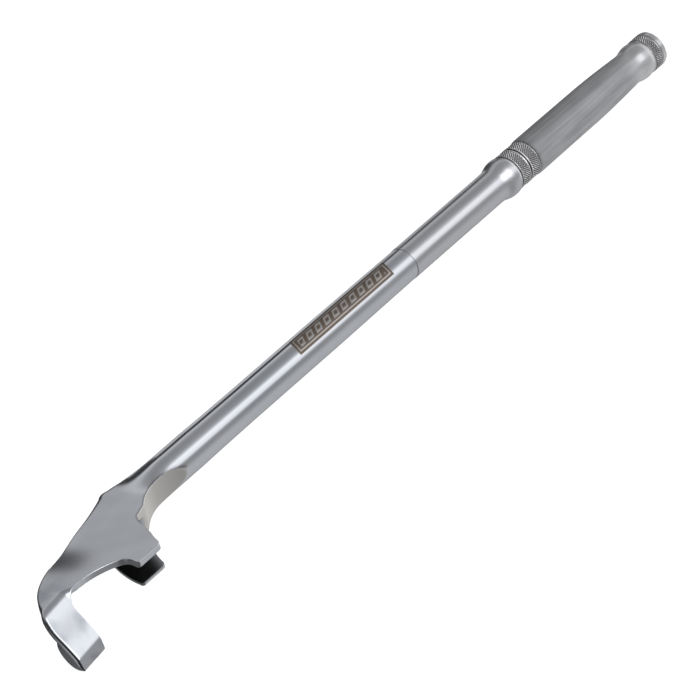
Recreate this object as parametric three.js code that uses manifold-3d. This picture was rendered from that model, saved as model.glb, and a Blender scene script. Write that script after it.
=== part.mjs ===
// Hook-jaw lever bar: a forged flat jaw and shank, joined end to end with a turned, knurled handle bar.
// Millimetres. The origin is the centre of the handle's flat end face. +X runs along the bar to the jaw,
// +Y is the way the jaw's mouth and slot open, and +Z is the normal of the jaw plate's flat top.
import * as THREE from "three";
import { mergeVertices } from "three/addons/utils/BufferGeometryUtils.js";
import Module from "manifold-3d";

const wasm = await Module();
wasm.setup();

// ---- Driving dimensions ----
const ROUND_SEGMENTS = 48;
const FIT_GAP = 0.3; // between the two pieces, all round their joint
const OVERRUN = 4; // how far a cutter passes the solid it cuts
const MITRE_LAP = 0.01; // how far the two halves of a mitre pass each other before they are joined

// Handle bar, along X from its end face.
const SEAM_X = 195.3;
const BAR_R = 8.15;
const COLLAR_R = 9.7; // the bulb in front of the knurled bands
const COLLAR_X = 119.6;
const COLLAR_FOOT_X = 128.6; // where the bulb runs out into the plain bar
const KNURL_R = 9.1;
const BAND_EDGES_X = [116.1, 109.4, 102.3]; // grooves at the sides of the two front knurled bands
const GRIP_R = 9.6;
const GRIP_TAPER_X = 58;
const NECK_R = 8.15;
const NECK_X = 20.8;
const END_BULB_R = 9.25;
const END_BULB_X = 13.3;
const END_NOTCH_R = 8.6;
const END_NOTCH_X = 9.4;
const RIM_GROOVE_X = 4.0;
const RIM_ROUND = 1.8;
const GROOVE_DEPTH = 0.5;
const GROOVE_HALF = 0.45;

// Joint of the two pieces: a round spigot on the shank in a blind bore in the handle.
const SPIGOT_R = 4;
const SPIGOT_LENGTH = 24;

// Shank, along X from the seam.
const SHANK_SEAM_R = 8.0;
const SHANK_MID_R = 8.35;
const SHANK_MID_X = [254, 313]; // the parallel stretch
const SHANK_HEAD_R = 8.7;
const SHANK_HEAD_X = 350;
const SHANK_END_X = 398; // inside the jaw block

// Jaw levels in Z.
const PLATE_TOP = 6.5;
const PLATE_THICK = 3.2;
const SLOT_LOW = -4.5;
const JAW_BOTTOM = -6.4;
const SLOT_FLOOR_Y = 14;

// Jaw outline, seen from above.
const FLAT_RUN_X = [366, 394]; // where the round shank is forged down to the jaw's thickness
const ROOT_TAPER_X = [380, 397]; // the same change beside the hollow
const ROOT_SHY = 2; // how far the taper's end reaches past the axis and past the hollow
const SCOOP_START_X = 363;
const SCOOP_TURN = { x: 384, y: 7 }; // where the ground hollow swings out to the ears
const BLOCK_START = [397.4, 13.2]; // where the hollow runs out into the full-thickness block
const SHOULDER = { x: 398.6, y: -9.6, round: 2.6 };
const EAR_TIP_Y = 38;
const EAR_X = [415.2, 431.2];
const MOUTH_FLOOR_Y = 22.8;
const HOOK_SPLIT_X = 453; // flat plate on one side, bent hook on the other
const HOOK_BACK_Y = 5.8;
const ARM_INNER_X = 464.4;
const ARM_OUTER_X = 479.3;
const TOE_INNER_X = 463.4;
const TOE_Y = 39.6;

// Hook arm and toe, seen from the side.
const BEND_Y = 22; // where the plate's top turns down
const BEND_ANGLE = THREE.MathUtils.degToRad(44);
const BEND_ROUND = 3.4;
const ARM_LENGTH = 23.4; // along the slope, from the bend to the toe's end face
const TOE_FACE = 5.15;
const TOE_FACE_ANGLE = THREE.MathUtils.degToRad(65);
const ROCKER_START = 12.4; // along the slope
const ROCKER_DEPTH = 6.2; // below the arm's top face
const HOOK_SKEW = THREE.MathUtils.degToRad(8); // the bend line's angle to the bar

// ---- Materials ----
const polishedSteel = new THREE.MeshStandardMaterial({ color: 0xa9abae, roughness: 0.16, metalness: 1 });
const satinSteel = new THREE.MeshStandardMaterial({ color: 0x9b9b9c, roughness: 0.38, metalness: 1 });

// ---- Helpers ----
function solidOf(geometry) {
  const bare = geometry.clone();
  bare.deleteAttribute("normal");
  bare.deleteAttribute("uv");
  const merged = mergeVertices(bare, 1e-4);
  const corners = Array.from(merged.index.array);
  const kept = [];
  for (let i = 0; i < corners.length; i += 3) {
    const [a, b, c] = corners.slice(i, i + 3);
    if (a !== b && b !== c && c !== a) kept.push(a, b, c);
  }
  return new wasm.Manifold(
    new wasm.Mesh({
      numProp: 3,
      vertProperties: merged.attributes.position.array,
      triVerts: new Uint32Array(kept),
    }),
  );
}

function geometryOf(solid) {
  const mesh = solid.getMesh();
  const geometry = new THREE.BufferGeometry();
  geometry.setAttribute("position", new THREE.BufferAttribute(mesh.vertProperties, mesh.numProp));
  geometry.setIndex(new THREE.BufferAttribute(mesh.triVerts, 1));
  geometry.computeVertexNormals();
  return geometry;
}

// A solid of revolution about X from a profile of (x, radius) points that starts and ends on the axis.
function turned(profile) {
  const points = profile.map((p) => new THREE.Vector2(p.y, p.x));
  const geometry = new THREE.LatheGeometry(points, ROUND_SEGMENTS);
  geometry.rotateZ(-Math.PI / 2);
  return solidOf(geometry);
}

// A plan outline pulled up along Z.
function plate(shape, low, high) {
  const geometry = new THREE.ExtrudeGeometry(shape, {
    depth: high - low,
    bevelEnabled: false,
    curveSegments: 8,
  });
  geometry.translate(0, 0, low);
  return solidOf(geometry);
}

// A side outline of (y, z) points pulled along X, then swung about Z at its middle.
function sideBar(shape, xLow, xHigh, swing) {
  const length = xHigh - xLow;
  const geometry = new THREE.ExtrudeGeometry(shape, {
    depth: length,
    bevelEnabled: false,
    curveSegments: 10,
  });
  geometry.translate(0, 0, -length / 2);
  geometry.applyMatrix4(new THREE.Matrix4().makeBasis(
    new THREE.Vector3(0, 1, 0),
    new THREE.Vector3(0, 0, 1),
    new THREE.Vector3(1, 0, 0),
  ));
  geometry.translate(0, -BEND_Y, 0);
  geometry.rotateZ(swing);
  geometry.translate((xLow + xHigh) / 2, BEND_Y, 0);
  return solidOf(geometry);
}

// ---- Handle bar ----
// A V groove with a rounded lip, cut in a surface of radius r.
function groove(path, x, r) {
  path.lineTo(x + GROOVE_HALF, r);
  path.lineTo(x, r - GROOVE_DEPTH);
  path.lineTo(x - GROOVE_HALF, r);
}

function handleProfile() {
  const [bandFront, bandMiddle, bandBack] = BAND_EDGES_X;
  const boreR = SPIGOT_R + FIT_GAP;
  const path = new THREE.Path();
  path.moveTo(SEAM_X - FIT_GAP - SPIGOT_LENGTH, 0);
  path.lineTo(SEAM_X - FIT_GAP - SPIGOT_LENGTH, boreR);
  path.lineTo(SEAM_X, boreR);
  path.lineTo(SEAM_X, BAR_R - 0.2);
  path.lineTo(SEAM_X - 0.2, BAR_R);
  path.lineTo(COLLAR_FOOT_X, BAR_R);
  path.bezierCurveTo(COLLAR_FOOT_X - 4, BAR_R, COLLAR_X + 4, COLLAR_R, COLLAR_X, COLLAR_R);
  path.lineTo(bandFront + GROOVE_HALF, KNURL_R);
  groove(path, bandFront, KNURL_R);
  groove(path, bandMiddle, KNURL_R);
  path.lineTo(bandBack + GROOVE_HALF, KNURL_R);
  path.lineTo(bandBack, KNURL_R - GROOVE_DEPTH);
  path.lineTo(bandBack - GROOVE_HALF, KNURL_R);
  path.quadraticCurveTo(bandBack - 1.4, GRIP_R, bandBack - 2.6, GRIP_R);
  path.lineTo(GRIP_TAPER_X, GRIP_R - 0.2);
  path.bezierCurveTo(GRIP_TAPER_X - 14, GRIP_R - 0.2, NECK_X + 10, NECK_R + 0.5, NECK_X, NECK_R);
  path.bezierCurveTo(NECK_X - 3, NECK_R, END_BULB_X + 3.4, END_BULB_R, END_BULB_X, END_BULB_R);
  path.quadraticCurveTo(END_NOTCH_X + 1.8, END_BULB_R, END_NOTCH_X, END_NOTCH_R);
  path.lineTo(END_NOTCH_X - 0.7, KNURL_R);
  groove(path, RIM_GROOVE_X, KNURL_R);
  path.lineTo(RIM_ROUND, KNURL_R);
  path.quadraticCurveTo(0, KNURL_R, 0, KNURL_R - RIM_ROUND);
  path.lineTo(0, 0);
  return path.getPoints(8).reverse();
}

// ---- Forged jaw and shank ----
function shankProfile() {
  const path = new THREE.Path();
  path.moveTo(SEAM_X - SPIGOT_LENGTH + FIT_GAP, 0);
  path.lineTo(SEAM_X - SPIGOT_LENGTH + FIT_GAP, SPIGOT_R);
  path.lineTo(SEAM_X + FIT_GAP, SPIGOT_R);
  path.lineTo(SEAM_X + FIT_GAP, SHANK_SEAM_R);
  path.lineTo(SHANK_MID_X[0], SHANK_MID_R);
  path.lineTo(SHANK_MID_X[1], SHANK_MID_R);
  path.quadraticCurveTo(SHANK_MID_X[1] + 14, SHANK_MID_R, SHANK_HEAD_X, SHANK_HEAD_R);
  path.lineTo(SHANK_END_X - 6, SHANK_HEAD_R);
  path.quadraticCurveTo(SHANK_END_X, SHANK_HEAD_R, SHANK_END_X, 0);
  return path.getPoints(8);
}

// The round shank's top and bottom run down to the jaw's two faces.
function thicknessEnvelope() {
  const [start, end] = FLAT_RUN_X;
  const run = (end - start) * 0.6;
  const far = SHANK_END_X + 2;
  const past = SHANK_HEAD_R + 1;
  const shape = new THREE.Shape();
  shape.moveTo(SEAM_X - SPIGOT_LENGTH - 1, -past);
  shape.lineTo(start - 1, -past);
  shape.lineTo(start, -SHANK_HEAD_R);
  shape.bezierCurveTo(start + run, -SHANK_HEAD_R, end - run, JAW_BOTTOM, end, JAW_BOTTOM);
  shape.lineTo(far, JAW_BOTTOM);
  shape.lineTo(far, PLATE_TOP);
  shape.lineTo(end, PLATE_TOP);
  shape.bezierCurveTo(end - run, PLATE_TOP, start + run, SHANK_HEAD_R, start, SHANK_HEAD_R);
  shape.lineTo(start - 1, past);
  shape.lineTo(SEAM_X - SPIGOT_LENGTH - 1, past);
  const width = 4 * SHANK_HEAD_R;
  const geometry = new THREE.ExtrudeGeometry(shape, { depth: width, bevelEnabled: false, curveSegments: 10 });
  geometry.rotateX(Math.PI / 2);
  geometry.translate(0, width / 2, 0);
  return solidOf(geometry);
}

// The taper that carries the round shank over to the flat block beside the hollow.
function shankRoot() {
  const disc = wasm.Manifold.cylinder(0.2, SHANK_HEAD_R, SHANK_HEAD_R, ROUND_SEGMENTS)
    .rotate([0, 90, 0])
    .translate([ROOT_TAPER_X[0], 0, 0]);
  const end = wasm.Manifold.cube([1, BLOCK_START[1] + 2 * ROOT_SHY, PLATE_TOP - JAW_BOTTOM])
    .translate([ROOT_TAPER_X[1], -ROOT_SHY, JAW_BOTTOM]);
  return wasm.Manifold.hull([disc, end]);
}

// The hollow-ground side, from the shank to the root of the ears.
function traceEarRoot(shape) {
  shape.lineTo(404.4, 15.6);
  shape.quadraticCurveTo(406.4, 16.8, 407.6, 20);
}

function scoopCutter() {
  const reach = EAR_TIP_Y + OVERRUN;
  const shape = new THREE.Shape();
  shape.moveTo(SCOOP_START_X, SHANK_HEAD_R + 0.4);
  shape.quadraticCurveTo(376, 5.8, SCOOP_TURN.x, SCOOP_TURN.y);
  shape.quadraticCurveTo(391, 8.4, ...BLOCK_START);
  traceEarRoot(shape);
  shape.lineTo(SCOOP_START_X, reach);
  return plate(shape, -2 * SHANK_HEAD_R, 2 * SHANK_HEAD_R);
}

function traceEarTip(shape) {
  const [back, front] = EAR_X;
  shape.lineTo(back - 3.6, EAR_TIP_Y - 9);
  shape.quadraticCurveTo(back - 1.2, EAR_TIP_Y - 5, back - 0.2, EAR_TIP_Y - 2.2);
  shape.quadraticCurveTo(back + 0.6, EAR_TIP_Y, back + 3, EAR_TIP_Y);
  shape.lineTo(front - 0.8, EAR_TIP_Y);
  shape.lineTo(front, EAR_TIP_Y - 0.8);
}

// The shoulder's corner, then the edge of the flat where it narrows on to the round shank.
function traceShoulder(shape) {
  const { x, y, round } = SHOULDER;
  shape.quadraticCurveTo(412, -5.4, x + round, y + 1.2);
  shape.quadraticCurveTo(x, y - 0.5, x - round, y + 1.6);
  shape.lineTo(x - 7, y + 4.6);
  shape.quadraticCurveTo(x - 10, y + 7, x - 14, 0);
}

// The full-thickness block: shank end, shoulder and both ears, before the slot is cut.
function blockOutline() {
  const shape = new THREE.Shape();
  shape.moveTo(...BLOCK_START);
  traceEarRoot(shape);
  traceEarTip(shape);
  shape.quadraticCurveTo(EAR_X[1] - 0.4, 27, 425, 15);
  shape.quadraticCurveTo(420, 3, 418, -3.5);
  traceShoulder(shape);
  return shape;
}

// The upper plate: the front ear, the neck and the flat root of the hook.
function plateOutline() {
  const shape = new THREE.Shape();
  shape.moveTo(...BLOCK_START);
  traceEarRoot(shape);
  traceEarTip(shape);
  shape.bezierCurveTo(EAR_X[1] - 0.4, 34.6, 430, 31, 434, 28.6);
  shape.quadraticCurveTo(443, MOUTH_FLOOR_Y + 0.4, HOOK_SPLIT_X, MOUTH_FLOOR_Y);
  shape.lineTo(HOOK_SPLIT_X, HOOK_BACK_Y);
  shape.quadraticCurveTo(434, 1.8, 418, -3.5);
  traceShoulder(shape);
  return shape;
}

// The hook as seen from above, from inside its root to the toe.
function hookOutline() {
  const shape = new THREE.Shape();
  shape.moveTo(HOOK_SPLIT_X - 0.5, HOOK_BACK_Y);
  shape.lineTo(HOOK_SPLIT_X - 0.5, MOUTH_FLOOR_Y);
  shape.bezierCurveTo(460, MOUTH_FLOOR_Y, ARM_INNER_X, 23.6, ARM_INNER_X, 29);
  shape.lineTo(TOE_INNER_X, TOE_Y + 1);
  shape.quadraticCurveTo(TOE_INNER_X, TOE_Y + 2.6, TOE_INNER_X + 1.6, TOE_Y + 3);
  shape.lineTo(ARM_OUTER_X, TOE_Y + 6);
  shape.lineTo(ARM_OUTER_X, TOE_Y - 8);
  shape.bezierCurveTo(ARM_OUTER_X, 25, 474.6, 19.6, 468.6, 13.6);
  shape.quadraticCurveTo(463, 8.6, HOOK_SPLIT_X - 0.5, HOOK_BACK_Y);
  return shape;
}

// A point a mm down the slope from the bend and d mm below the arm's top face, as (y, z).
function onSlope(a, d) {
  const c = Math.cos(BEND_ANGLE);
  const s = Math.sin(BEND_ANGLE);
  return new THREE.Vector2(BEND_Y + a * c - d * s, PLATE_TOP - a * s - d * c);
}

// The bend line, seen from above: a point on it and the direction across it, towards the toe.
function bendLine() {
  const middle = new THREE.Vector2((HOOK_SPLIT_X + ARM_OUTER_X) / 2, BEND_Y);
  const across = new THREE.Vector2(-Math.sin(HOOK_SKEW), Math.cos(HOOK_SKEW));
  return { middle, across };
}

// The hook's outline unrolled: past the bend line it is as long as the sloping arm really is.
function unrolledHook() {
  const { middle, across } = bendLine();
  const stretch = 1 / Math.cos(BEND_ANGLE) - 1;
  const points = hookOutline().getPoints(8).map((point) => {
    const past = Math.max(0, point.clone().sub(middle).dot(across));
    return point.clone().addScaledVector(across, past * stretch);
  });
  return new THREE.Shape(points);
}

// The bent hook sheet: a flat root and a sloping arm, mitred at the bend, walls square to the sheet.
function bentSheet() {
  const { middle, across } = bendLine();
  const axis = new THREE.Vector3(across.y, -across.x, 0);
  const pivot = new THREE.Vector3(middle.x, middle.y, PLATE_TOP);
  const tilt = new THREE.Matrix4().makeTranslation(pivot)
    .multiply(new THREE.Matrix4().makeRotationAxis(axis, -BEND_ANGLE))
    .multiply(new THREE.Matrix4().makeTranslation(pivot.clone().negate()));
  const half = BEND_ANGLE / 2;
  const mitre = new THREE.Vector3(across.x * Math.cos(half), across.y * Math.cos(half), -Math.sin(half));
  const at = mitre.dot(pivot);
  const depth = ROCKER_DEPTH + 2;
  const root = plate(unrolledHook(), PLATE_TOP - depth, PLATE_TOP);
  const arm = root.transform(tilt.elements);
  return root.trimByPlane(mitre.clone().negate().toArray(), -at - MITRE_LAP)
    .add(arm.trimByPlane(mitre.toArray(), at - MITRE_LAP));
}

// The hook from the side: flat root, bend, straight arm, end face and the rocker under the toe.
function hookProfile() {
  const faceTurn = TOE_FACE_ANGLE - BEND_ANGLE;
  const toeEnd = ARM_LENGTH + TOE_FACE * Math.cos(faceTurn);
  const toeTip = onSlope(ARM_LENGTH, 0);
  const toeFoot = onSlope(toeEnd, TOE_FACE * Math.sin(faceTurn));
  const heel = onSlope(ROCKER_START, PLATE_THICK);
  const bellyBack = onSlope(ROCKER_START + 0.2, ROCKER_DEPTH + 0.8);
  const bellyFront = onSlope(toeEnd - 5.4, ROCKER_DEPTH + 1.6);
  const under = onSlope(BEND_ROUND, PLATE_THICK);
  const down = onSlope(BEND_ROUND, 0);
  const back = -20;
  const shape = new THREE.Shape();
  shape.moveTo(back, PLATE_TOP - PLATE_THICK);
  shape.lineTo(BEND_Y - BEND_ROUND, PLATE_TOP - PLATE_THICK);
  shape.quadraticCurveTo(
    BEND_Y - PLATE_THICK * Math.tan(BEND_ANGLE / 2),
    PLATE_TOP - PLATE_THICK,
    under.x,
    under.y,
  );
  shape.lineTo(heel.x, heel.y);
  shape.bezierCurveTo(bellyBack.x, bellyBack.y, bellyFront.x, bellyFront.y, toeFoot.x, toeFoot.y);
  shape.lineTo(toeTip.x, toeTip.y);
  shape.lineTo(down.x, down.y);
  shape.quadraticCurveTo(BEND_Y, PLATE_TOP, BEND_Y - BEND_ROUND, PLATE_TOP);
  shape.lineTo(back, PLATE_TOP);
  return shape;
}

// The slot between the ears, open through the block along X.
function slotCutter() {
  const high = PLATE_TOP - PLATE_THICK;
  const round = (high - SLOT_LOW) / 2;
  const shape = new THREE.Shape();
  shape.moveTo(EAR_TIP_Y + OVERRUN, SLOT_LOW);
  shape.lineTo(EAR_TIP_Y + OVERRUN, high);
  shape.lineTo(SLOT_FLOOR_Y + round, high);
  shape.absarc(SLOT_FLOOR_Y + round, high - round, round, Math.PI / 2, 1.5 * Math.PI, false);
  return sideBar(shape, EAR_X[0] - 20, EAR_X[1] + 10, 0);
}

function forgedJaw() {
  const shank = turned(shankProfile()).intersect(thicknessEnvelope());
  const block = plate(blockOutline(), JAW_BOTTOM, PLATE_TOP).subtract(slotCutter());
  const upperPlate = plate(plateOutline(), PLATE_TOP - PLATE_THICK, PLATE_TOP);
  const hookSide = sideBar(hookProfile(), HOOK_SPLIT_X - 20, ARM_OUTER_X + 20, HOOK_SKEW);
  const hook = bentSheet().intersect(hookSide);
  return shank.add(shankRoot()).subtract(scoopCutter()).add(block).add(upperPlate).add(hook);
}

// ---- Assembly ----
function piece(name, solid, material) {
  const mesh = new THREE.Mesh(geometryOf(solid), material);
  mesh.name = name;
  return mesh;
}

const leverBar = new THREE.Group();
leverBar.add(piece("handle_bar", turned(handleProfile()), satinSteel));
leverBar.add(piece("forged_jaw_and_shank", forgedJaw(), polishedSteel));

export default leverBar;
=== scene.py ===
# Looks of the hook-jaw lever bar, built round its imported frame.
# The meshes are worked out in millimetres in the CAD frame and stored in metres.
import math

import bpy
import numpy as np
from mathutils import Matrix, Vector


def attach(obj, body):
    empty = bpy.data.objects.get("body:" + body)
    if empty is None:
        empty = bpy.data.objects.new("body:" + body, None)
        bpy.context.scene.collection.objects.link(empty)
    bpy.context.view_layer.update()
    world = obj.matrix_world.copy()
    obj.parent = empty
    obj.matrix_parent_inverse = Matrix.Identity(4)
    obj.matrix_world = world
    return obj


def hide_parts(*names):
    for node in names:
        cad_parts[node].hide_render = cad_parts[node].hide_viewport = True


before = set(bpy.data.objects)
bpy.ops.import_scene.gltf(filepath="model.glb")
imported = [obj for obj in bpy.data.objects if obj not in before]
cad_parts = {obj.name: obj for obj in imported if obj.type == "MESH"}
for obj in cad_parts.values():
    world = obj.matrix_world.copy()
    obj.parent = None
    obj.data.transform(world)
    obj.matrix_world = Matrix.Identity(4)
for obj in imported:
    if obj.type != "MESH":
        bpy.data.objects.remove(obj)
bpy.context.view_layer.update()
MM = 0.001


# ---------------------------------------------------------------- curves
def quad(p, c, q, n=10):
    t = np.linspace(0, 1, n + 1)[1:, None]
    p, c, q = (np.array(v, float) for v in (p, c, q))
    return (1 - t) ** 2 * p + 2 * t * (1 - t) * c + t ** 2 * q


def cubic(p, a, b, q, n=12):
    t = np.linspace(0, 1, n + 1)[1:, None]
    p, a, b, q = (np.array(v, float) for v in (p, a, b, q))
    return (1 - t) ** 3 * p + 3 * t * (1 - t) ** 2 * a + 3 * t ** 2 * (1 - t) * b + t ** 3 * q


def outline(*parts):
    return np.vstack([np.atleast_2d(np.array(p, float)) for p in parts])


# ---------------------------------------------------------------- jaw outlines, seen from above (mm)
PLATE_TOP, PLATE_LOW = 6.5, 3.3
SLOT_LOW, JAW_BOTTOM, SLOT_FLOOR_Y = -4.5, -6.4, 14.0
SEAM_X = 195.36
SPIGOT_X, SPIGOT_R = 171.6, 4.0
SHANK_X = [195, 254, 313, 335, 350, 420]
SHANK_R = [8.0, 8.35, 8.35, 8.5, 8.7, 8.7]
JAW_FROM_X, HOOK_FROM_X = 355, 449      # where each outline starts to count
NECK_X = (368, 394)                     # the round shank turns into the flat block
ROOT_POINTS = outline((404.4, 15.6), quad((404.4, 15.6), (406.4, 16.8), (407.6, 20)))
EAR_POINTS = outline(
    (411.6, 29), quad((411.6, 29), (414, 33), (415, 35.8)), quad((415, 35.8), (415.8, 38), (418.2, 38)),
    (430.3, 38), (431.2, 37.1))
SHOULDER_POINTS = outline(
    (418, -3.6), quad((418, -3.6), (411.6, -5.4), (402.2, -8.8)),
    quad((402.2, -8.8), (398.9, -11.3), (395.4, -9.6)), (388, -8.7), (352, -9.0))
BLOCK = outline(
    (352, 16), (399, 18), ROOT_POINTS, EAR_POINTS,
    quad((431.2, 37.1), (430.8, 27), (425, 15)), quad((425, 15), (420, 3), (418, -3.5)), SHOULDER_POINTS)
PLATE = outline(
    ROOT_POINTS, EAR_POINTS,
    cubic((431.2, 37.1), (430.8, 34.6), (430, 31), (434, 28.6)),
    quad((434, 28.6), (443, 23.2), (453, 22.8)), (453, 4.9),
    quad((453, 4.9), (438, 1.4), (418, -3.6)), quad((418, -3.6), (411.6, -5.4), (402.2, -8.8)))
SCOOP = outline(
    (361, 9.6), quad((361, 9.6), (374, 5.4), (384, 7)), quad((384, 7), (391, 8.4), (397.2, 13.2)),
    ROOT_POINTS, (411, 45), (361, 45))
HOOK = outline(
    (450, 3.9), (450, 22.8), (453, 22.8), cubic((453, 22.8), (458.6, 22.8), (462.2, 24.0), (462.3, 29)),
    (462.6, 39.8), quad((462.8, 39.8), (462.7, 43.9), (466.2, 44.2)), (480.6, 46), (480.6, 31.6),
    cubic((480.6, 31.6), (480.3, 25), (475.4, 19.2), (469.0, 13.0)),
    quad((469, 13.0), (462.4, 7.0), (450, 3.9)))

# ---------------------------------------------------------------- the hook's fold (mm and radians)
# Past the fold, a runs down the arm, u runs across it and h stands up from its top face.
BEND_AT = np.array([466.15, 22.0])
SKEW, BEND = math.radians(8), math.radians(44)
ACROSS = np.array([-math.sin(SKEW), math.cos(SKEW)])
ALONG = np.array([math.cos(SKEW), math.sin(SKEW)])
BEND_RUN = 2.4                          # half the rounded fold's length
BEND_R = BEND_RUN / math.tan(BEND / 2)
TOE_A, FACE_TURN = 23.4, math.radians(21)   # the slanting face at the toe
ARM_THICK, ARM_END = 3.2, 28.8
WAVE_FROM, WAVE_TO, WAVE_HEIGHT = 1, 23, 0.15   # slight hand-forged waviness of the arm's top
ROCKER_A, ROCKER_H = 20.1, -2.5         # centre and half sizes of the rocker under the toe
ROCKER_HALF_A, ROCKER_HALF_H = 8.6, 4.5
FAR = 50.0                              # stands in for a distance that is not worked out


def smooth(a, b, v):
    t = np.clip((v - a) / (b - a), 0, 1)
    return t * t * (3 - 2 * t)


def bend_shift(u):
    """How far the bend line curves away to clear the mouth's floor."""
    return 5.0 * smooth(-4, -13, u)


def developed(poly):
    """An outline seen from above, unrolled past the fold into the flat sheet."""
    fine = []
    for p, q in zip(poly, np.roll(poly, -1, axis=0)):
        n = max(1, int(np.hypot(*(q - p)) / 1.2))
        fine += [p + (q - p) * i / n for i in range(n)]
    fine = np.array(fine)
    past = np.maximum(0, (fine - BEND_AT) @ ACROSS - bend_shift((fine - BEND_AT) @ ALONG))
    return fine + np.outer(past * (1 / math.cos(BEND) - 1), ACROSS)


HOOK_SHEET = developed(HOOK)


# ---------------------------------------------------------------- distance fields
def poly_distance(poly, x, y):
    """Signed distance to a closed outline, negative inside."""
    px, py = np.ravel(x), np.ravel(y)
    best = np.full(px.shape, 1e9)
    inside = np.zeros(px.shape, bool)
    for (ax, ay), (bx, by) in zip(poly, np.roll(poly, -1, axis=0)):
        ex, ey = bx - ax, by - ay
        ll = ex * ex + ey * ey
        if ll < 1e-12:
            continue
        wx, wy = px - ax, py - ay
        t = np.clip((wx * ex + wy * ey) / ll, 0, 1)
        best = np.minimum(best, (wx - t * ex) ** 2 + (wy - t * ey) ** 2)
        if ay != by:
            inside ^= ((ay > py) != (by > py)) & (px < ex * (py - ay) / ey + ax)
    return (np.sqrt(best) * np.where(inside, -1, 1)).reshape(np.shape(x))


def smax(a, b, k):
    """Larger of two fields, with the corner between them rounded over k."""
    h = np.maximum(k - np.abs(a - b), 0) / k
    return np.maximum(a, b) + h * h * k * 0.25


def smin(a, b, k):
    return -smax(-a, -b, k)


def hook_distance(x, y, z):
    """The bent arm with its rocker and slanting toe."""
    dx, dy = x - BEND_AT[0], y - BEND_AT[1]
    s = dx * ACROSS[0] + dy * ACROSS[1]
    u = dx * ALONG[0] + dy * ALONG[1]
    shift = bend_shift(u)
    s = s - shift
    w = z - PLATE_TOP
    cs, cw = s + BEND_RUN, w + BEND_R
    theta = np.arctan2(cs, cw)
    sb, cb = math.sin(BEND), math.cos(BEND)
    a = np.where(theta <= 0, s, np.where(
        theta >= BEND, s * cb - w * sb, -BEND_RUN + 2 * BEND_RUN * theta / BEND))
    h = np.where(theta <= 0, w, np.where(theta >= BEND, s * sb + w * cb, np.hypot(cs, cw) - BEND_R))
    px = BEND_AT[0] + u * ALONG[0] + (a + shift) * ACROSS[0]
    py = BEND_AT[1] + u * ALONG[1] + (a + shift) * ACROSS[1]
    swell = (np.clip(a, WAVE_FROM, WAVE_TO) - WAVE_FROM) * 2 * math.pi / (WAVE_TO - WAVE_FROM)
    h = h + WAVE_HEIGHT * np.sin(swell)
    side = poly_distance(HOOK_SHEET, px, py)
    sheet = np.maximum(np.maximum(h, -ARM_THICK - h), a - ARM_END)
    reach = ((a - ROCKER_A) / ROCKER_HALF_A) ** 2 + ((h - ROCKER_H) / ROCKER_HALF_H) ** 2
    oval = (np.sqrt(reach) - 1) * ROCKER_HALF_H
    body = np.maximum(smin(sheet, oval, 0.3), h)
    bevel = (a - TOE_A) * math.sin(FACE_TURN) + h * math.cos(FACE_TURN)
    body = smax(body, bevel, 0.35)
    outer = smooth(-12, 4, a) * smooth(4, 8, u)
    return smax(side, body, 0.7 + 1.7 * outer)


def crown(x, y):
    """How far the plate's neck falls away towards its outer edge."""
    fall = np.clip(24 - y, 0, 30) ** 2 * 0.0021
    return fall * np.exp(-((x - 441) / 9.0) ** 2)


def forging_distance(x, y, z):
    """The whole forging: shank, jaw block with its slot, top plate, hook and spigot."""
    r = np.hypot(y, z)
    radius = np.interp(x, SHANK_X, SHANK_R)
    bar = smax(r - radius, SEAM_X - x, 0.3)
    near = x > JAW_FROM_X
    d_block = np.full(x.shape, FAR)
    d_plate = np.full(x.shape, FAR)
    d_scoop = np.full(x.shape, FAR)
    if near.any():
        xi, yi = x[near], y[near]
        zi = z[near] + crown(xi, yi)
        edge = 0.5 + 1.7 * smooth(1, -8, yi)    # the outer edge is rounded more
        flat = np.maximum(zi - PLATE_TOP, JAW_BOTTOM - zi)
        block = smax(poly_distance(BLOCK, xi, yi), flat, edge)
        slot = np.maximum(zi - PLATE_LOW, SLOT_LOW - zi)
        slot = smax(slot, SLOT_FLOOR_Y - yi, 3.2)
        d_block[near] = smax(block, -slot, 0.4)
        plate = np.maximum(zi - PLATE_TOP, PLATE_LOW - zi)
        d_plate[near] = smax(poly_distance(PLATE, xi, yi), plate, edge)
        d_scoop[near] = poly_distance(SCOOP, xi, yi)
    blend = smooth(*NECK_X, x)
    d = (1 - blend) * bar + blend * d_block
    d = smax(d, -d_scoop, 0.3)
    d = np.minimum(d, d_plate)
    past = x > HOOK_FROM_X
    if past.any():
        hook = np.full(x.shape, FAR)
        hook[past] = hook_distance(x[past], y[past], z[past] + crown(x[past], y[past]))
        d = np.minimum(d, hook)
    spigot = np.maximum(r - SPIGOT_R, np.maximum(SPIGOT_X - x, x - SEAM_X - 2))
    return np.minimum(d, spigot)


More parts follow.
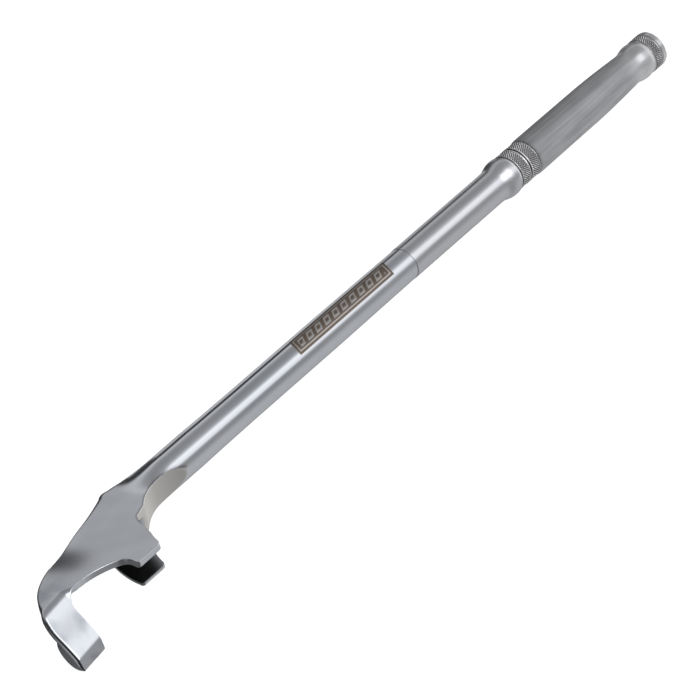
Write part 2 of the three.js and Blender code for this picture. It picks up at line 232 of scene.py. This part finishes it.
# ---------------------------------------------------------------- surface of a distance field
def surface_nets(field, gx, gy, gz):
    """One vertex in each grid cell the surface crosses, one quad on each grid edge it crosses."""
    inside = field < 0
    shape = tuple(n - 1 for n in field.shape)
    total = np.zeros(shape + (3,))
    count = np.zeros(shape)
    grids = (gx, gy, gz)
    quads = []
    for axis in range(3):
        lo = [slice(None)] * 3
        hi = [slice(None)] * 3
        lo[axis], hi[axis] = slice(None, -1), slice(1, None)
        a, b = field[tuple(lo)], field[tuple(hi)]
        cross = inside[tuple(lo)] != inside[tuple(hi)]
        idx = np.argwhere(cross)
        va, vb = a[cross], b[cross]
        t = va / (va - vb)
        point = np.stack([grids[k][idx[:, k]] for k in range(3)], 1)
        point[:, axis] += t * (grids[axis][idx[:, axis] + 1] - grids[axis][idx[:, axis]])
        o1, o2 = [k for k in range(3) if k != axis]
        ring = []
        for s1, s2 in ((0, 0), (1, 0), (1, 1), (0, 1)):
            cell = idx.copy()
            cell[:, o1] -= s1
            cell[:, o2] -= s2
            np.add.at(total, tuple(cell.T), point)
            np.add.at(count, tuple(cell.T), 1)
            ring.append(np.ravel_multi_index(tuple(cell.T), shape))
        ring = np.stack(ring, 1)
        flip = (va < 0) == (axis == 1)
        ring[flip] = ring[flip][:, ::-1]
        quads.append(ring)
    quads = np.vstack(quads)
    used, faces = np.unique(quads, return_inverse=True)
    verts = total.reshape(-1, 3)[used] / count.reshape(-1)[used][:, None]
    return verts, faces.reshape(-1, 4)


def gradient(f, p, e=0.02):
    corners = np.array([[1, -1, -1], [-1, -1, 1], [-1, 1, -1], [1, 1, 1]], float)
    return sum(np.outer(f(*(p + e * v).T), v) for v in corners) / (4 * e)


def steps(*runs):
    return np.concatenate([np.arange(low, high, step) for low, high, step in runs])


SLAB = 16                               # grid planes worked out at once


def forging_mesh():
    """The forging's mesh, pulled onto the field's surface, with the field's own normals."""
    fine = 0.4
    gx = steps((170.7, 172.6, 0.3), (172.6, 194.4, 2.2), (194.4, 197.2, 0.25), (197.2, 355, 2.2),
               (355, 484, fine))
    gy = np.arange(-12, 48, fine)
    gz = np.arange(-19, 10.2, fine)
    field = np.empty((len(gx), len(gy), len(gz)))
    for i in range(0, len(gx), SLAB):
        x, y, z = np.meshgrid(gx[i:i + SLAB], gy, gz, indexing="ij")
        field[i:i + SLAB] = forging_distance(x.ravel(), y.ravel(), z.ravel()).reshape(x.shape)
    verts, faces = surface_nets(field, gx, gy, gz)
    for _ in range(3):
        g = gradient(forging_distance, verts)
        d = forging_distance(*verts.T)
        step = -d[:, None] * g / np.maximum((g * g).sum(1), 0.25)[:, None]
        length = np.linalg.norm(step, axis=1, keepdims=True)
        verts = verts + step * np.minimum(1, 0.35 / np.maximum(length, 1e-9))
    normals = gradient(forging_distance, verts, 0.06)
    normals /= np.linalg.norm(normals, axis=1, keepdims=True)
    return verts, faces, normals


# ---------------------------------------------------------------- handle
BANDS = [(102.95, 108.3), (110.5, 115.4), (4.65, 8.9)]  # the knurled bands, along x
KNURL_TEETH, KNURL_LEAD = 44, 1.3
KNURL_HEIGHT, KNURL_SINK, KNURL_FADE = 0.56, 0.2, 0.3
BORE_R = 4.3
SIDES = 464


def knurl(x, theta):
    """Diamond pattern from 0 in the cuts to 1 on the points."""
    def tri(v):
        return np.abs((v % 1.0) * 2 - 1)
    a = tri(theta * KNURL_TEETH / (2 * math.pi) + x / KNURL_LEAD)
    b = tri(theta * KNURL_TEETH / (2 * math.pi) - x / KNURL_LEAD)
    return np.minimum(a, b)


def handle_rows():
    """Half profile of the turned handle as (x, radius), from the end face to the bore's floor."""
    rows = []

    def add(points):
        rows.extend([tuple(p) for p in np.atleast_2d(np.array(points, float))])

    def line(p, q, n):
        add(np.linspace(p, q, n + 1)[1:])

    # the end face, the rounded rim and its groove
    add([(0.0, 0.001), (0.0, 2.0), (0.0, 5.0), (0.0, 7.2)])
    add(quad((0, 7.2), (0, 9.1), (2.0, 9.1), 10))
    line((2.0, 9.1), (3.5, 9.1), 2)
    add([(3.62, 9.05), (3.75, 8.85), (4.0, 8.3), (4.25, 8.75), (4.4, 8.98)])
    # the end band, the end bulb and the grip
    add([(4.55, 9.1), (4.65, 8.98)])
    line((4.65, 8.98), (8.9, 8.98), 34)
    add([(9.1, 8.85), (9.3, 8.62), (9.55, 8.6)])
    add(cubic((9.55, 8.6), (10.4, 8.75), (11.8, 9.25), (13.3, 9.25), 12))
    add(cubic((13.3, 9.25), (16.7, 9.25), (17.8, 8.15), (20.8, 8.15), 16))
    add(cubic((20.8, 8.15), (30.8, 8.65), (44, 9.4), (58, 9.4), 24))
    line((58, 9.4), (99.9, 9.6), 20)
    add(quad((99.9, 9.6), (101.3, 9.6), (101.85, 9.15), 8))
    # two knurled bands between turned grooves
    add([(102.0, 8.85), (102.3, 8.2), (102.55, 8.95), (102.65, 9.22)])
    add([(102.88, 9.2), (102.95, 9.0)])
    line((102.95, 9.0), (108.3, 9.0), 44)
    add([(108.4, 9.22), (108.8, 9.26), (109.0, 9.0), (109.2, 8.3), (109.4, 8.1), (109.6, 8.3), (109.8, 9.0)])
    add([(110.0, 9.26), (110.4, 9.22)])
    line((110.5, 9.0), (115.4, 9.0), 41)
    add([(115.5, 9.2), (115.78, 9.24), (115.88, 9.0), (116.1, 8.35), (116.28, 8.8), (116.5, 9.15)])
    # the collar bulb, the plain bar and the bore
    add(quad((116.5, 9.1), (117.2, 9.7), (119.6, 9.7), 12))
    add(cubic((119.6, 9.7), (123.6, 9.7), (124.6, 8.15), (128.8, 8.15), 20))
    line((128.8, 8.15), (195.0, 8.15), 14)
    add(quad((195.0, 8.15), (195.3, 8.15), (195.3, 7.9), 5))
    add([(195.3, 6.0), (195.3, BORE_R), (183, BORE_R), (171.4, BORE_R), (171.4, 0.001)])
    return np.array(rows)


def handle_mesh():
    rows = handle_rows()
    n = SIDES
    theta = np.arange(n) * 2 * math.pi / n
    x = np.repeat(rows[:, 0], n)
    r = np.repeat(rows[:, 1], n)
    t = np.tile(theta, len(rows))
    for low, high in BANDS:
        m = (x >= low) & (x <= high) & (r > 8)
        edge = np.minimum(1, np.minimum(x[m] - low, high - x[m]) / KNURL_FADE + 0.15)
        r[m] += (KNURL_HEIGHT * knurl(x[m], t[m]) - KNURL_SINK) * np.clip(edge, 0, 1)
    verts = np.stack([x, r * np.cos(t), r * np.sin(t)], 1)
    i = np.arange(len(rows) - 1)[:, None] * n
    j = np.arange(n)[None, :]
    k = (j + 1) % n
    faces = np.stack([i + j, i + n + j, i + n + k, i + k], 2).reshape(-1, 4)
    # both ends close with a fan onto a point on the axis
    first, last = len(verts), len(verts) + 1
    verts = np.vstack([verts, [rows[0, 0], 0, 0], [rows[-1, 0], 0, 0]])
    base = (len(rows) - 1) * n
    caps = [(first, int(a), int((a + 1) % n)) for a in range(n)]
    caps += [(last, base + int((a + 1) % n), base + int(a)) for a in range(n)]
    return verts, faces[:, ::-1], caps


def make_object(name, verts, faces, extra=()):
    mesh = bpy.data.meshes.new(name)
    mesh.from_pydata((verts * MM).tolist(), [], faces.tolist() + [list(f) for f in extra])
    mesh.update()
    mesh.polygons.foreach_set("use_smooth", [True] * len(mesh.polygons))
    obj = bpy.data.objects.new(name, mesh)
    bpy.context.scene.collection.objects.link(obj)
    return obj


# ---------------------------------------------------------------- materials
class Nodes:
    """Short calls for a material's node tree."""

    def __init__(self, tree):
        self.tree = tree

    def new(self, kind, **values):
        node = self.tree.nodes.new(kind)
        for key, value in values.items():
            setattr(node, key, value)
        return node

    def put(self, socket, value):
        if isinstance(value, bpy.types.NodeSocket):
            self.tree.links.new(value, socket)
        else:
            socket.default_value = value

    def math(self, op, a, b=0.0, c=0.0, clamp=False):
        node = self.new("ShaderNodeMath", operation=op, use_clamp=clamp)
        for socket, value in zip(node.inputs, (a, b, c)):
            self.put(socket, value)
        return node.outputs[0]

    def ramp(self, value, low, high, to_low=0.0, to_high=1.0):
        node = self.new("ShaderNodeMapRange", interpolation_type="SMOOTHSTEP")
        for socket, v in zip(node.inputs, (value, low, high, to_low, to_high)):
            self.put(socket, v)
        return node.outputs[0]

    def mix(self, factor, a, b):
        node = self.new("ShaderNodeMix", data_type="RGBA")
        self.put(node.inputs[0], factor)
        self.put(node.inputs[6], a)
        self.put(node.inputs[7], b)
        return node.outputs[2]

    def band(self, value, low, high, soft):
        return self.math("MULTIPLY", self.ramp(value, low - soft, low + soft),
                         self.ramp(value, high - soft, high + soft, 1.0, 0.0))

    def noise(self, vector, scale, detail=3.0, rough=0.5):
        node = self.new("ShaderNodeTexNoise")
        self.put(node.inputs["Vector"], vector)
        self.put(node.inputs["Scale"], scale)
        self.put(node.inputs["Detail"], detail)
        self.put(node.inputs["Roughness"], rough)
        return node.outputs["Fac"]

    def stretched(self, vector, sx, sy, sz):
        node = self.new("ShaderNodeMapping")
        self.put(node.inputs["Vector"], vector)
        node.inputs["Scale"].default_value = (sx, sy, sz)
        return node.outputs[0]


def metal(name):
    material = bpy.data.materials.new(name)
    material.use_nodes = True
    tree = material.node_tree
    shader = tree.nodes["Principled BSDF"]
    shader.inputs["Metallic"].default_value = 1.0
    n = Nodes(tree)
    coords = n.new("ShaderNodeTexCoord").outputs["Object"]
    split = n.new("ShaderNodeSeparateXYZ")
    n.put(split.inputs[0], coords)
    return material, n, shader, coords, split.outputs


BUMP_DEPTH = 0.00003


def bump(n, shader, height, strength):
    node = n.new("ShaderNodeBump")
    n.put(node.inputs["Height"], height)
    node.inputs["Strength"].default_value = strength
    node.inputs["Distance"].default_value = BUMP_DEPTH
    n.put(shader.inputs["Normal"], node.outputs[0])


# Linear colours; a pair is the darker and the lighter end of a mottled surface.
STEEL = (0.575, 0.60, 0.635, 1), (0.665, 0.685, 0.71, 1)
# painted shade: darker patches on the hook's arm
ARM_PAINTED_SHADE = (0.45, 0.475, 0.51, 1)
# painted shade inside the slot between the ears
SLOT_PAINTED_SHADE = (0.035, 0.035, 0.036, 1)
# painted dark reflection lines along edges
EDGE_PAINTED_SHADE = (0.10, 0.10, 0.105, 1)
GROUND_WARM = (0.58, 0.57, 0.545, 1), (0.70, 0.685, 0.65, 1)
ETCH_BROWN = (0.14, 0.11, 0.088, 1), (0.27, 0.22, 0.18, 1)
ETCH_PALE = (0.42, 0.40, 0.385, 1), (0.56, 0.545, 0.53, 1)
GRIP = (0.28, 0.285, 0.295, 1), (0.42, 0.425, 0.435, 1)
END_BULB = (0.74, 0.745, 0.75, 1)
END_RIM = (0.56, 0.56, 0.565, 1)
BAR = (0.58, 0.59, 0.615, 1), (0.66, 0.67, 0.69, 1)
# painted shade in the knurl's cuts and a painted highlight on its points
KNURL_PAINTED_SHADE_TO_HIGHLIGHT = (0.08, 0.08, 0.082, 1), (0.90, 0.90, 0.905, 1)

# The etched panel on the shank: its reach along x (m) and round the bar, and its slight lean.
PANEL_X = (0.2040, 0.2728)
PANEL_PHI = (math.radians(40.4), math.radians(103))
PANEL_SKEW, PANEL_FACING = 0.00525, math.radians(43)
PANEL_CELLS, CELL_LEAN = 11.0, 0.55


def polished_steel():
    """Polished forging: drawn grain, ground hollow, painted shade inside the slot, along thin edges and in
    patches on the arm, etched panel.
    """
    material, n, shader, coords, (x, y, z) = metal("polished_steel")
    cloud = n.noise(coords, 34.0, 3.0)
    drawn = n.noise(n.stretched(coords, 30, 2400, 2400), 1.0, 2.0)
    ground_attr = n.new("ShaderNodeAttribute", attribute_name="ground").outputs["Fac"]
    grind = n.noise(n.stretched(coords, 260, 60, 2600), 1.0, 3.0)
    grind_tone = n.noise(coords, 55.0, 2.0)
    steel = n.mix(cloud, *STEEL)
    slot_painted_shade = n.new("ShaderNodeAttribute", attribute_name="slot_painted_shade").outputs["Fac"]
    # painted shade: darker patches on the hook's arm stand in for its uneven reflection
    patch = n.noise(coords, 85.0, 1.5)
    arm = n.math("MULTIPLY", n.ramp(x, 0.452, 0.466), n.ramp(patch, 0.38, 0.62))
    steel = n.mix(arm, steel, ARM_PAINTED_SHADE)
    # painted shade inside the slot, from the mesh attribute
    steel = n.mix(slot_painted_shade, steel, SLOT_PAINTED_SHADE)
    edge_painted_shade = n.new("ShaderNodeAttribute", attribute_name="edge_painted_shade").outputs["Fac"]
    # painted dark reflection lines along the edges, from the mesh attribute
    steel = n.mix(edge_painted_shade, steel, EDGE_PAINTED_SHADE)
    colour = n.mix(ground_attr, steel, n.mix(grind_tone, *GROUND_WARM))

    # roughness: duller near the seam and on the jaw, dull in the slot and in the ground hollow
    blur = n.math("ADD", n.ramp(x, 0.196, 0.262, 0.22, 0.12), n.ramp(x, 0.385, 0.405, 0.0, 0.08))
    rough = n.math("ADD", blur, n.math("MULTIPLY", n.math("SUBTRACT", cloud, 0.5), 0.06))
    rough = n.math("ADD", rough, n.math("MULTIPLY", drawn, 0.03))
    rough = n.math("ADD", rough, n.math("MULTIPLY", slot_painted_shade, 0.25))
    rough_ground = n.math("ADD", 0.40, n.math("MULTIPLY", grind, 0.16))
    rough = n.math("ADD", n.math("MULTIPLY", rough, n.math("SUBTRACT", 1.0, ground_attr)),
                   n.math("MULTIPLY", rough_ground, ground_attr))

    # etched panel: u runs along it and v across it, both from 0 to 1
    phi = n.math("ARCTAN2", z, y)
    swing = n.math("MULTIPLY", n.math("COSINE", n.math("SUBTRACT", phi, PANEL_FACING)), PANEL_SKEW)
    along = n.math("SUBTRACT", n.math("SUBTRACT", x, swing), PANEL_X[0])
    u = n.math("DIVIDE", along, PANEL_X[1] - PANEL_X[0])
    v = n.math("DIVIDE", n.math("SUBTRACT", phi, PANEL_PHI[0]), PANEL_PHI[1] - PANEL_PHI[0])
    panel = n.math("MULTIPLY", n.band(u, 0.0, 1.0, 0.0025), n.band(v, 0.0, 1.0, 0.018))
    inner = n.math("MULTIPLY", n.band(u, 0.018, 0.982, 0.0025), n.band(v, 0.13, 0.87, 0.02))
    core = n.math("MULTIPLY", n.band(u, 0.027, 0.973, 0.0025), n.band(v, 0.19, 0.81, 0.02))
    rule = n.math("SUBTRACT", inner, core, clamp=True)
    slant = n.math("ADD", n.math("MULTIPLY", u, PANEL_CELLS), n.math("MULTIPLY", v, CELL_LEAN))
    cell = n.math("FRACT", slant)
    bars = n.math("MULTIPLY", n.band(cell, 0.16, 0.80, 0.035), n.band(v, 0.28, 0.72, 0.025))
    bars = n.math("MULTIPLY", bars, n.band(u, 0.05, 0.95, 0.003))
    cut = n.math("MULTIPLY", n.band(cell, 0.30, 0.66, 0.03), n.band(v, 0.40, 0.60, 0.02))
    light = n.math("ADD", n.math("MULTIPLY", bars, n.math("SUBTRACT", 1.0, cut)), rule, clamp=True)
    blotch = n.noise(coords, 700.0, 3.0, 0.6)
    etched = n.mix(light, n.mix(blotch, *ETCH_BROWN), n.mix(blotch, *ETCH_PALE))
    colour = n.mix(panel, colour, etched)
    etch_rough = n.math("ADD", 0.50, n.math("MULTIPLY", blotch, 0.18))
    etch_rough = n.math("SUBTRACT", etch_rough, n.math("MULTIPLY", light, 0.18))
    rough = n.math("ADD", n.math("MULTIPLY", rough, n.math("SUBTRACT", 1.0, panel)),
                   n.math("MULTIPLY", etch_rough, panel))
    n.put(shader.inputs["Base Color"], colour)
    n.put(shader.inputs["Roughness"], rough)

    # drawn lines along the bar, grinding marks in the hollow, the etch's depth and a slow hammered wave
    marks = n.math("MULTIPLY", n.math("MULTIPLY", grind, ground_attr), 1.2)
    height = n.math("ADD", n.math("MULTIPLY", drawn, 0.10), marks)
    eaten = n.math("MULTIPLY", panel, n.math("SUBTRACT", 1.0, light))
    height = n.math("SUBTRACT", height, n.math("MULTIPLY", eaten, 1.5))
    wave = n.math("MULTIPLY", n.noise(coords, 48.0, 1.0), n.ramp(x, 0.384, 0.402, 0.0, 16.0))
    bump(n, shader, n.math("ADD", height, wave), 0.35)
    return material


def satin_steel():
    """Turned handle: satin grip, brighter bulbs, knurling with painted shade in its cuts and a painted
    highlight on its points, polished bar.
    """
    material, n, shader, coords, (x, y, z) = metal("satin_steel")
    streak = n.noise(n.stretched(coords, 22, 620, 620), 1.0, 4.0, 0.6)
    cloud = n.noise(coords, 60.0, 3.0)
    turned = n.noise(n.stretched(coords, 5200, 8, 8), 1.0, 2.0)
    tone = n.math("ADD", n.math("MULTIPLY", streak, 0.7), n.math("MULTIPLY", cloud, 0.3))
    colour = n.mix(n.ramp(tone, 0.3, 0.7), *GRIP)
    colour = n.mix(n.ramp(x, 0.017, 0.030, 0.45, 0.0), colour, END_BULB)
    colour = n.mix(n.ramp(x, 0.0040, 0.0044, 0.7, 0.0), colour, END_RIM)
    colour = n.mix(n.ramp(x, 0.1162, 0.1178), colour, n.mix(streak, *BAR))
    knurled = n.math("ADD", n.band(x, 0.1020, 0.1163, 0.0002), n.band(x, 0.0044, 0.0091, 0.0002))
    # painted shade in the knurl's cuts and a painted highlight on its points, by distance from the axis
    radius = n.math("SQRT", n.math("ADD", n.math("MULTIPLY", y, y), n.math("MULTIPLY", z, z)))
    colour = n.mix(knurled, colour, n.mix(n.ramp(radius, 0.00880, 0.00920), *KNURL_PAINTED_SHADE_TO_HIGHLIGHT))
    plated = n.math("ADD", n.ramp(x, 0.1155, 0.1165, 0.5, 1.0), n.math("MULTIPLY", knurled, 0.5))
    n.put(shader.inputs["Metallic"], plated)

    # roughness: dull grip, smoother bulbs, knurling and end rim, and a little grain
    rough = n.math("ADD", n.ramp(x, 0.1155, 0.1185, 0.24, 0.0), n.ramp(x, 0.122, 0.140, 0.32, 0.24))
    rough = n.math("SUBTRACT", rough, n.ramp(x, 0.017, 0.030, 0.28, 0.0))
    rough = n.math("SUBTRACT", rough, n.math("MULTIPLY", n.ramp(x, 0.05, 0.06, 0.02, 0.28), knurled))
    rough = n.math("SUBTRACT", rough, n.ramp(x, 0.0036, 0.0040, 0.22, 0.0))
    grain = n.math("MULTIPLY", n.math("SUBTRACT", streak, 0.5), n.ramp(x, 0.020, 0.036, 0.03, 0.12))
    rough = n.math("ADD", rough, grain)
    n.put(shader.inputs["Base Color"], colour)
    n.put(shader.inputs["Roughness"], rough)
    height = n.math("ADD", n.math("MULTIPLY", turned, 0.6), n.math("MULTIPLY", streak, 0.8))
    bump(n, shader, height, 0.25)
    return material


# ---------------------------------------------------------------- build the pieces
def paint_points(obj, name, values):
    """Store one number for each vertex, which the material reads by name."""
    attribute = obj.data.attributes.new(name, "FLOAT", "POINT")
    attribute.data.foreach_set("value", values.astype(np.float32))


verts, faces, normals = forging_mesh()
forging = make_object("forging", verts, faces)
vx, vy, vz = verts.T
nx, nz = normals[:, 0], normals[:, 2]
from_scoop = poly_distance(SCOOP, vx, vy)

# ground: the hollow-ground side of the neck
ground = np.clip(1 - np.abs(from_scoop) / 0.35, 0, 1)
ground *= (vx > 360) & (vx < 405) & (np.abs(nz) < 0.5)
paint_points(forging, "ground", ground)

# painted shade: the inside of the slot between the ears is painted dark, fading towards its front
slot_painted_shade = smooth(PLATE_LOW + 0.35, PLATE_LOW - 0.25, vz) * smooth(SLOT_LOW - 0.35, SLOT_LOW + 0.25, vz + 0.3)
slot_painted_shade *= smooth(13, 15, vy) * (vx > 396) * (vx < 440)
slot_painted_shade *= 0.15 + 0.85 * smooth(411, 424, vx + 0.6 * (38 - vy))
paint_points(forging, "slot_painted_shade", slot_painted_shade)

# painted reflection: thin dark lines painted round the hollow and along the arm's outer side, standing in
# for dark reflections on their rounded edges
edge_painted_shade = 0.85 * np.exp(-(from_scoop / 0.7) ** 2)
edge_painted_shade *= (vx > 362) & (vx < 409) & (nz >= 0.25)
arm_edge = (vx > 462) * smooth(0.22, 0.36, nx) * smooth(0.80, 0.66, nx)
edge_painted_shade += arm_edge * smooth(PLATE_TOP - 1.0, PLATE_TOP - 3.0, vz)
paint_points(forging, "edge_painted_shade", edge_painted_shade)

forging.data.normals_split_custom_set_from_vertices(normals.tolist())
forging.data.materials.append(polished_steel())
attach(forging, "root")
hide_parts("forged_jaw_and_shank")

verts, faces, caps = handle_mesh()
handle = make_object("handle", verts, faces, caps)
handle.data.materials.append(satin_steel())
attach(handle, "root")
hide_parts("handle_bar")

# ---------------------------------------------------------------- floor
FLOOR_Z, FLOOR_SIZE = -0.021, 12
FLOOR_GLOW = 0.80
bpy.ops.mesh.primitive_plane_add(size=FLOOR_SIZE, location=(0.3, 0, FLOOR_Z))
floor = bpy.context.object
floor.name = "floor"
floor.visible_glossy = False            # the steel mirrors the tent alone
paint = bpy.data.materials.new("floor_paint")
paint.use_nodes = True
coat = paint.node_tree.nodes["Principled BSDF"]
coat.inputs["Base Color"].default_value = (0.9, 0.9, 0.9, 1)
coat.inputs["Roughness"].default_value = 1.0
coat.inputs["Specular IOR Level"].default_value = 0.0
coat.inputs["Emission Color"].default_value = (1, 1, 1, 1)
coat.inputs["Emission Strength"].default_value = FLOOR_GLOW
floor.data.materials.append(paint)

# ---------------------------------------------------------------- light: a soft tent round the bar
FAR_DARK, FAR_RIM, FAR_LOW = (0.07, 0.07, 0.072, 1), (0.5, 0.5, 0.51, 1), (0.2, 0.2, 0.2, 1)
BOX, END_GLOW = (2.9, 2.9, 2.95, 1), (1.6, 1.6, 1.62, 1)
DIM, CARD = (0.08, 0.08, 0.08, 1), (0.05, 0.05, 0.052, 1)
COOL = 1.02                             # the tent is this much bluer than grey
world = bpy.data.worlds.new("studio")
bpy.context.scene.world = world
world.use_nodes = True
tree = world.node_tree
n = Nodes(tree)
direction = n.new("ShaderNodeTexCoord").outputs["Generated"]
split = n.new("ShaderNodeSeparateXYZ")
n.put(split.inputs[0], direction)
angle = n.math("ARCTAN2", split.outputs[2], split.outputs[1])
turn = n.math("ADD", n.math("DIVIDE", angle, 2 * math.pi), 0.5)
tent = n.new("ShaderNodeValToRGB")
tent.color_ramp.interpolation = "LINEAR"
STOPS = [  # degrees about the bar from +Y towards +Z, and brightness
    (-180, 0.68), (-155, 0.42), (-137, 0.28), (-120, 0.36), (-90, 0.54), (-45, 0.61), (-24, 0.57),
    (-12, 0.44), (6, 0.34), (17, 0.5), (25, 1.15), (48, 1.4), (55, 1.1), (62, 0.62), (76, 0.40),
    (100, 0.33), (118, 0.40), (132, 0.70), (138, 0.70), (142.5, 0.07), (160, 0.03), (164, 0.6),
    (180, 0.68)]
while len(tent.color_ramp.elements) > 1:
    tent.color_ramp.elements.remove(tent.color_ramp.elements[-1])
for i, (degrees, level) in enumerate(STOPS):
    place = degrees / 360 + 0.5
    element = tent.color_ramp.elements[0] if i == 0 else tent.color_ramp.elements.new(place)
    element.position = place
    element.color = (level, level, level * COOL, 1)
n.put(tent.inputs[0], turn)

# Directions that lean along the bar leave the tent's bands: across is along the bar, high is up.
across, high = split.outputs[0], split.outputs[2]
# the far end, beyond the jaw, is dark with a paler rim and a grey floor line
far_side = n.math("MULTIPLY", n.ramp(across, 0.12, 0.4), n.ramp(high, 0.6, 0.85, 1.0, 0.0))
edge_light = n.ramp(across, 0.88, 0.97)
beyond = n.mix(n.ramp(high, -0.5, -0.1), FAR_LOW, n.mix(edge_light, FAR_DARK, FAR_RIM))
sky = n.mix(far_side, tent.outputs[0], beyond)
# one soft box makes the bright spots on the bulbs
box = n.math("MULTIPLY", n.band(across, -0.38, -0.05, 0.08),
             n.band(angle, math.radians(24), math.radians(62), 0.08))
sky = n.mix(box, sky, BOX)
# below and to the far side it is dim, and past the handle's end it is bright
dim = n.math("MULTIPLY", n.ramp(across, -0.45, -0.15), n.ramp(high, -0.2, -0.4))
sky = n.mix(n.math("MULTIPLY", dim, 0.55), sky, DIM)
sky = n.mix(n.ramp(across, -0.80, -0.93), sky, END_GLOW)
# behind the bar, only surfaces that lean along it see a dark card
tilted = n.math("ADD", n.ramp(across, -0.575, -0.53), n.ramp(across, -0.63, -0.68), clamp=True)
behind = n.math("ADD", n.ramp(angle, math.radians(140), math.radians(144)),
                n.ramp(angle, math.radians(-158), math.radians(-163)), clamp=True)
sky = n.mix(n.math("MULTIPLY", tilted, behind), sky, CARD)
background = tree.nodes["Background"]
n.put(background.inputs[0], sky)
background.inputs[1].default_value = 1.0    # strength

# ---------------------------------------------------------------- camera
BACK = Vector((0.60182, 0.58392, 0.54486))
RIGHT = Vector((-0.59983, 0.78091, -0.17434))
UP = BACK.cross(RIGHT)
AIM, DISTANCE, LENS = Vector((0.2934, 0.0511, 0.0301)), 2.55, 305.0
camera_data = bpy.data.cameras.new("camera")
camera = bpy.data.objects.new("camera", camera_data)
bpy.context.scene.collection.objects.link(camera)
camera_data.sensor_width = 36
camera_data.lens = LENS
camera_data.clip_end = 50
place = AIM + BACK * DISTANCE
camera.matrix_world = Matrix((
    (RIGHT.x, UP.x, BACK.x, place.x),
    (RIGHT.y, UP.y, BACK.y, place.y),
    (RIGHT.z, UP.z, BACK.z, place.z),
    (0, 0, 0, 1)))
bpy.context.scene.camera = camera
bpy.context.scene.view_settings.view_transform = "Standard"
